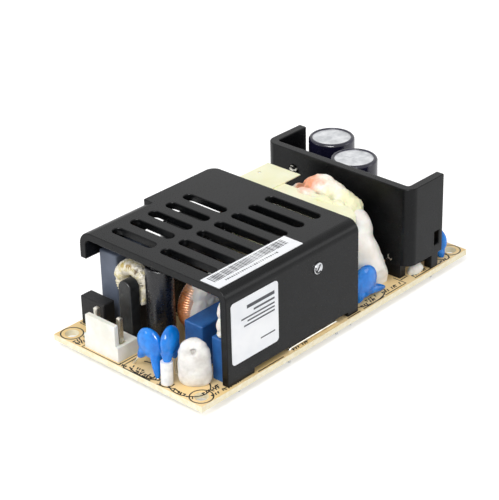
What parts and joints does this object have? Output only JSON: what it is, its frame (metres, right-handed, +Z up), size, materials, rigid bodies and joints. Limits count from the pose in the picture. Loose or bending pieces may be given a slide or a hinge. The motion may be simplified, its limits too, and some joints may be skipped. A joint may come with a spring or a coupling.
{
  "type": "open frame power supply",
  "caption": "Open frame power supply: bare board with black slotted cover, black heatsink, wire headers and taped transformer.",
  "frame": {"origin": "centre of the four mounting holes, on the board's underside", "axes": "+X along the long side from the input header to the output header, +Y across the board away from the cover's deep wall, +Z up from the board"},
  "size_m": [0.1016, 0.0508, 0.0293],
  "materials": {
    "laminate": "satin tan board with black print",
    "black_anodised": "satin black anodised",
    "cream_nylon": "satin",
    "tinned": "bright tin",
    "plated_steel": "bright zinc",
    "solder": "bright, rounded",
    "violet_sleeve": "glossy shrink sleeve",
    "aluminium_can": "bright drawn",
    "blue_epoxy": "glossy dipped coating",
    "blue_box": "semi-matt moulded",
    "grey_box": "matt moulded",
    "black_mould": "matt moulded epoxy",
    "black_shrink": "satin shrink sleeve",
    "ferrite": "matt sintered",
    "yellow_tape": "satin polyester film",
    "white_silicone": "matt, set in lumps",
    "enamelled_copper": "glossy enamel over copper",
    "cream_winding": "coated turns with dried glue",
    "black_former": "satin phenolic",
    "label_paper": "matt with dark bars",
    "thermal_pad": "matt grey",
    "white_sleeve": "matt"
  },
  "bodies": {
    "root": {"circuit_board": "laminate", "slotted_cover": "black_anodised", "output_heatsink": "black_anodised", "rating_label": "label_paper", "barcode_label": "label_paper", "switching_transistor": "black_mould", "transistor_pad": "thermal_pad", "transistor_screw": "plated_steel", "output_rectifier": "black_mould", "rectifier_pad": "thermal_pad", "rectifier_screw": "plated_steel", "heatsink_rivet": "plated_steel", "input_header_housing": "cream_nylon", "input_header_pins": "tinned", "output_header_housing": "cream_nylon", "output_header_pins": "tinned", "fuse": "black_mould", "thermistor": "black_shrink", "suppression_capacitor": "grey_box", "line_choke_core": "ferrite", "line_choke_winding": "cream_winding", "line_choke_base": "black_former", "filter_capacitor_can": "aluminium_can", "filter_capacitor_sleeve": "violet_sleeve", "film_capacitor_front": "blue_box", "film_capacitor_wall": "blue_box", "disc_capacitor_left": "blue_epoxy", "disc_capacitor_sleeved": "blue_epoxy", "disc_capacitor_rear": "blue_epoxy", "disc_capacitor_output": "blue_epoxy", "lead_sleeve": "white_sleeve", "rectifier_choke_core": "ferrite", "rectifier_choke_winding": "enamelled_copper", "rectifier_choke_base": "black_former", "varistor": "white_silicone", "bulk_capacitor_can": "aluminium_can", "bulk_capacitor_sleeve": "violet_sleeve", "bridge_rectifier": "black_mould", "core_lower": "ferrite", "core_upper": "ferrite", "transformer_tape": "yellow_tape", "coil_former": "black_former", "transformer_winding": "yellow_tape", "insulation_flap": "yellow_tape", "output_capacitor_rear_can": "aluminium_can", "output_capacitor_rear_sleeve": "violet_sleeve", "output_capacitor_front_can": "aluminium_can", "output_capacitor_front_sleeve": "violet_sleeve", "output_choke_core": "ferrite", "output_choke_winding": "enamelled_copper", "optocoupler": "black_mould", "jumper_wire": "tinned", "silicone_mound": "white_silicone", "silicone_slope": "white_silicone", "output_bead": "white_silicone", "capacitor_bead": "white_silicone", "choke_bead": "white_silicone", "solder_joints": "solder"}
  },
  "joints": []
}
